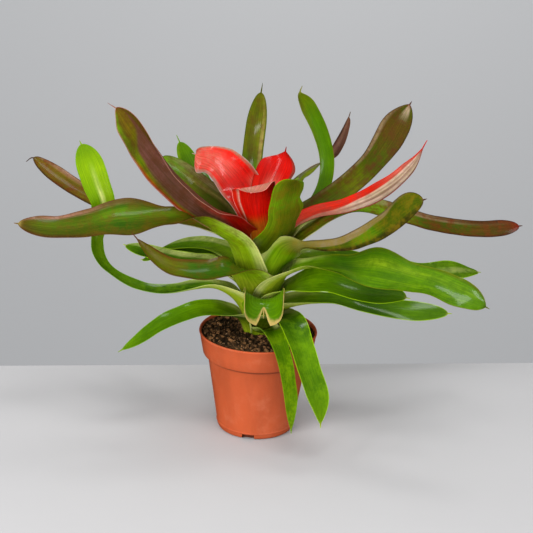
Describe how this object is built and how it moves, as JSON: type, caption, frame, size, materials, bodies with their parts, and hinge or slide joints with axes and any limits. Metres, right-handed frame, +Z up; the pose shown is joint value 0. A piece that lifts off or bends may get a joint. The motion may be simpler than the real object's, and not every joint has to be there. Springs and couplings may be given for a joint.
{
  "type": "potted bromeliad",
  "caption": "Bromeliad with arching strap leaves, their broad sheaths stacked round a short stem, a heart of red leaves, in a round terracotta-coloured nursery pot filled with soil.",
  "frame": {"origin": "centre of the pot's flat underside", "axes": "+Z up along the pot's axis, -Y towards the side that is looked at, +X to its right"},
  "size_m": [0.5156, 0.2683, 0.3476],
  "materials": {
    "pot": "terracotta-coloured moulded plastic, satin",
    "soil": "dark moist peat with bark and coir",
    "stem": "fleshy pale green",
    "green_leaf": "glossy waxy green leaf, ribbed lengthwise",
    "bronze_leaf": "glossy waxy leaf, olive green flushed purple-brown towards margins and tip",
    "red_leaf": "glossy waxy red leaf"
  },
  "bodies": {
    "root": {"pot": "pot", "soil": "soil", "stem": "stem", "heart_leaf_left": "red_leaf", "heart_leaf_right": "red_leaf", "heart_leaf_front": "red_leaf", "leaf_up_left": "bronze_leaf", "leaf_right_red": "red_leaf", "leaf_heart_green": "green_leaf", "leaf_back_top": "green_leaf", "leaf_mid_left_back": "bronze_leaf", "leaf_back_small": "green_leaf", "leaf_back_right_green": "green_leaf", "leaf_right_up": "bronze_leaf", "leaf_back_right_thin": "bronze_leaf", "leaf_right_far": "bronze_leaf", "leaf_left_brown": "bronze_leaf", "leaf_right_twisted": "bronze_leaf", "leaf_left_long": "bronze_leaf", "leaf_back_left_high": "green_leaf", "leaf_right_mid_back": "green_leaf", "leaf_front_left": "bronze_leaf", "leaf_right_big": "green_leaf", "leaf_back_left_mid": "green_leaf", "leaf_back_low": "green_leaf", "leaf_back_left_low": "green_leaf", "leaf_right_lower": "green_leaf", "leaf_left_bent": "green_leaf", "leaf_right_lowest": "green_leaf", "leaf_front_stub": "green_leaf", "leaf_low_left": "green_leaf", "leaf_front_right": "green_leaf", "leaf_front_narrow": "green_leaf"}
  },
  "joints": []
}
